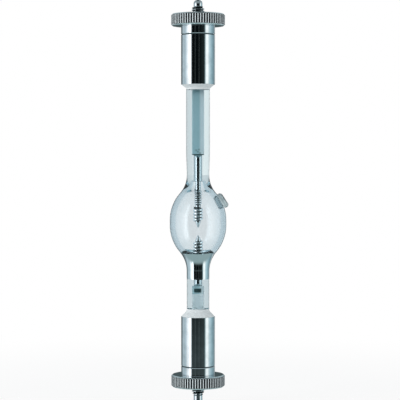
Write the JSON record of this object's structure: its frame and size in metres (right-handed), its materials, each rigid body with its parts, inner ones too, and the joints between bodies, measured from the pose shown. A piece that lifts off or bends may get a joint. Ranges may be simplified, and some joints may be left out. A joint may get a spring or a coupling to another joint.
{
  "type": "mercury short-arc lamp",
  "caption": "Short-arc discharge lamp: quartz bulb on two stems, foil seals, coated lower neck, threaded plated bases with knurled nuts.",
  "frame": {"origin": "centre of the lower base's shoulder, on which the lower nut seats", "axes": "+Z along the lamp from the lower base to the upper base, +X towards the sealed exhaust tube, -Y towards the face of the foils"},
  "size_m": [0.0182, 0.0176, 0.1268],
  "materials": {
    "fused_quartz": "polished, clear",
    "reflector_metal": "bright metallic coating under glass",
    "mercury": "liquid metal",
    "tungsten": "drawn, dark grey",
    "tungsten_wire": "drawn wire",
    "molybdenum_foil": "rolled, satin",
    "molybdenum_rod": "drawn",
    "base_cement": "matt, pale grey",
    "nickel_plate": "bright nickel plate",
    "solder": "dull bright solder"
  },
  "bodies": {
    "lamp": {"quartz_envelope": "fused_quartz", "reflector_coating": "reflector_metal", "mercury_bead": "mercury", "lower_electrode": "tungsten", "lower_tip_coil": "tungsten_wire", "lower_shank_coil": "tungsten_wire", "lower_foil": "molybdenum_foil", "lower_lead": "molybdenum_rod", "lower_cement": "base_cement", "lower_base_sleeve": "nickel_plate", "lower_base_cap": "nickel_plate", "lower_solder": "solder", "upper_electrode": "tungsten", "upper_tip_coil": "tungsten_wire", "upper_shank_coil": "tungsten_wire", "upper_foil": "molybdenum_foil", "upper_lead": "molybdenum_rod", "upper_cement": "base_cement", "upper_base_sleeve": "nickel_plate", "upper_base_cap": "nickel_plate", "upper_solder": "solder"},
    "lower_nut": {"lower_nut": "nickel_plate"},
    "upper_nut": {"upper_nut": "nickel_plate"}
  },
  "joints": [
    {"name": "lower_nut_turn", "type": "hinge", "parent": "lamp", "child": "lower_nut", "pos_m": [0, 0, -0.00185], "axis": [0, 0, -1], "continuous": true},
    {"name": "upper_nut_turn", "type": "hinge", "parent": "lamp", "child": "upper_nut", "pos_m": [0, 0, 0.11025], "axis": [0, 0, 1], "continuous": true}
  ]
}
